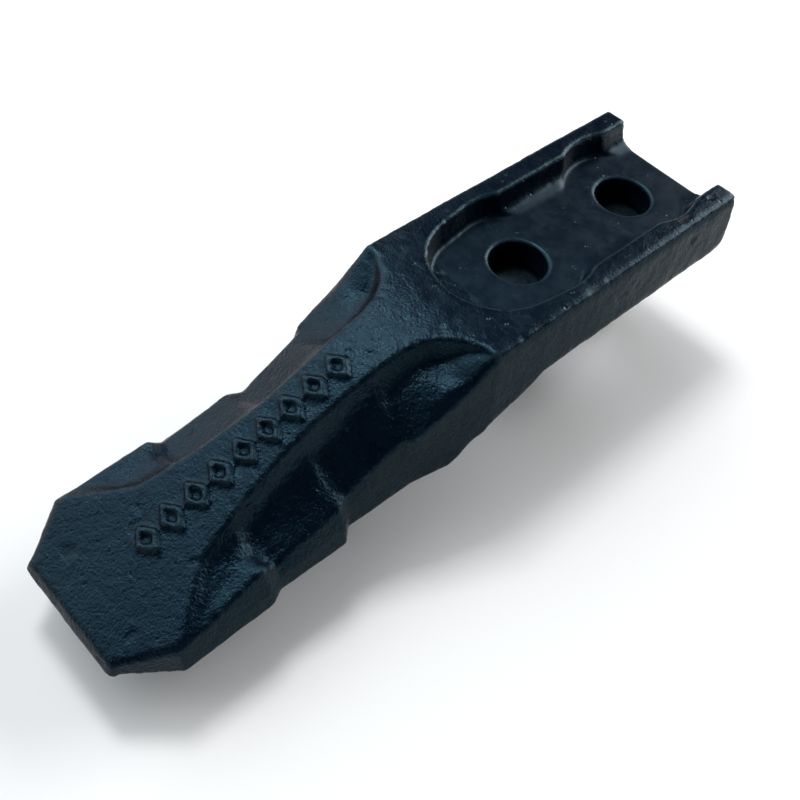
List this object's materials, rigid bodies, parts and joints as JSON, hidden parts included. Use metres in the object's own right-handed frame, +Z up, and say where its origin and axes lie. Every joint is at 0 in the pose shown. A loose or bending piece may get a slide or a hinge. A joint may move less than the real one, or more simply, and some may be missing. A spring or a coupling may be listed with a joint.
{
  "type": "excavator bucket tooth",
  "caption": "Bolt-on excavator bucket tooth: a channelled shank held by studs, washers and nuts, and a ribbed, scooped wedge that ends in a chisel tip.",
  "frame": {"origin": "on the seat plane that lies on the bucket lip, midway between the two stud axes", "axes": "-Y towards the chisel tip, +Z up out of the pocket along the studs, X across the tooth"},
  "size_m": [0.0578, 0.222, 0.056],
  "materials": {
    "tooth_paint": "blue-black semi-gloss paint over a rough forged skin",
    "stud_steel": "black oxide",
    "washer_steel": "hardened, dark grey",
    "nut_steel": "phosphated"
  },
  "bodies": {
    "tooth": {"tooth": "tooth_paint", "front_stud": "stud_steel", "rear_stud": "stud_steel"},
    "front_washer": {"front_washer": "washer_steel"},
    "rear_washer": {"rear_washer": "washer_steel"},
    "front_nut": {"front_nut": "nut_steel"},
    "rear_nut": {"rear_nut": "nut_steel"}
  },
  "joints": [
    {"name": "front_washer_slide", "type": "slide", "parent": "tooth", "child": "front_washer", "axis": [0, 0, -1], "range_m": [0, 0.022]},
    {"name": "rear_washer_slide", "type": "slide", "parent": "tooth", "child": "rear_washer", "axis": [0, 0, -1], "range_m": [0, 0.022]},
    {"name": "front_nut_turn", "type": "hinge", "parent": "front_washer", "child": "front_nut", "pos_m": [0, -0.024, -0.023], "axis": [0, 0, -1], "range_deg": [0, 3960]},
    {"name": "rear_nut_turn", "type": "hinge", "parent": "rear_washer", "child": "rear_nut", "pos_m": [0, 0.024, -0.023], "axis": [0, 0, -1], "range_deg": [0, 3960]}
  ],
  "couplings": [
    {"joint": "front_nut_turn", "follows": "front_washer_slide", "rad_per_m": 3141.6},
    {"joint": "rear_nut_turn", "follows": "rear_washer_slide", "rad_per_m": 3141.6}
  ]
}
